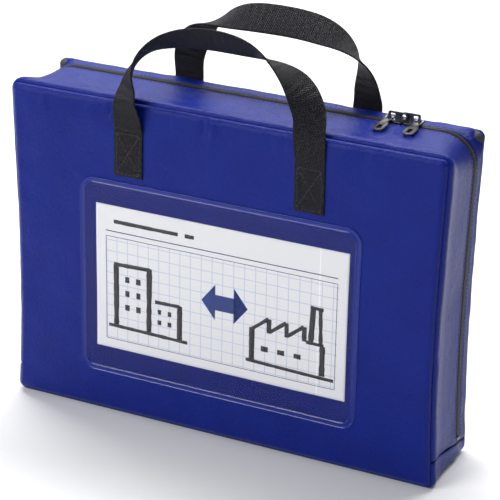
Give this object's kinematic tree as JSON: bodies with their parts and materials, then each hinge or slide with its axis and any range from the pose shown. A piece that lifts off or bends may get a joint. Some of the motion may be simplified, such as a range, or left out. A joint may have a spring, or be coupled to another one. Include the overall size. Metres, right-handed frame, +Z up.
{
  "type": "cash deposit bag",
  "caption": "Box-shaped blue tarpaulin deposit bag with a zip round the top and sides, lockable sliders, webbing handles and a clear address window.",
  "frame": {"origin": "centre of the bag's base, on the surface it stands on", "axes": "+Z up, front with the address window faces -Y, +X to the right of someone facing the front"},
  "size_m": [0.37, 0.0996, 0.3382],
  "materials": {
    "tarpaulin": "satin-gloss PVC-coated fabric",
    "core_board": "matt foamed sheet",
    "lining": "woven nylon",
    "binding": "woven tape",
    "zip_tape": "woven polyester",
    "zip_coil": "satin nylon",
    "webbing": "coarse herringbone webbing",
    "clear_film": "clear glossy PVC film",
    "card": "plain printed card",
    "black_metal": "gloss black enamel on die-cast zinc"
  },
  "bodies": {
    "bag_body": {"back_panel": "tarpaulin", "back_core_board": "core_board", "back_lining": "lining", "bottom_gusset": "tarpaulin", "base_core_board": "core_board", "base_lining": "lining", "base_seam_bindings": "binding", "back_gusset": "tarpaulin", "back_seam_binding": "binding", "zip_tape_back": "zip_tape", "zip_coil_back": "zip_coil", "zip_end_stops": "zip_coil", "back_handle_ends": "webbing", "back_handle_patches": "binding"},
    "front_flap": {"front_panel": "tarpaulin", "front_core_board": "core_board", "front_lining": "lining", "front_gusset": "tarpaulin", "front_seam_binding": "binding", "zip_tape_front": "zip_tape", "zip_coil_front": "zip_coil", "window_rim": "tarpaulin", "window_film": "clear_film", "window_end_film": "clear_film", "front_handle_ends": "webbing", "front_handle_patches": "binding"},
    "card": {"address_card": "card"},
    "front_handle": {"front_handle": "webbing"},
    "back_handle": {"back_handle": "webbing"},
    "slider_left": {"slider_left": "black_metal"},
    "slider_right": {"slider_right": "black_metal"},
    "pull_left": {"pull_left": "black_metal"},
    "pull_right": {"pull_right": "black_metal"}
  },
  "joints": [
    {"name": "flap_hinge", "type": "hinge", "parent": "bag_body", "child": "front_flap", "pos_m": [0, -0.038, 0], "axis": [1, 0, 0], "range_deg": [0, 35]},
    {"name": "slider_left_run", "type": "slide", "parent": "front_flap", "child": "slider_left", "axis": [-1, 0, 0], "range_m": [0, 0.265]},
    {"name": "slider_right_run", "type": "slide", "parent": "front_flap", "child": "slider_right", "axis": [1, 0, 0], "range_m": [0, 0.018]},
    {"name": "pull_left_lift", "type": "hinge", "parent": "slider_left", "child": "pull_left", "pos_m": [0.1133, 0.01935, 0.2725], "axis": [-1, 0, 0], "range_deg": [0, 50]},
    {"name": "pull_right_lift", "type": "hinge", "parent": "slider_right", "child": "pull_right", "pos_m": [0.1367, 0.02095, 0.2725], "axis": [-1, 0, 0], "range_deg": [0, 50]},
    {"name": "front_handle_fold", "type": "hinge", "parent": "front_flap", "child": "front_handle", "pos_m": [0, -0.042, 0.24615], "axis": [1, 0, 0], "range_deg": [0, 165]},
    {"name": "back_handle_fold", "type": "hinge", "parent": "bag_body", "child": "back_handle", "pos_m": [0, 0.042, 0.24615], "axis": [-1, 0, 0], "range_deg": [0, 165]},
    {"name": "card_slide", "type": "slide", "parent": "front_flap", "child": "card", "axis": [1, 0, 0], "range_m": [-0.005, 0.003]}
  ]
}
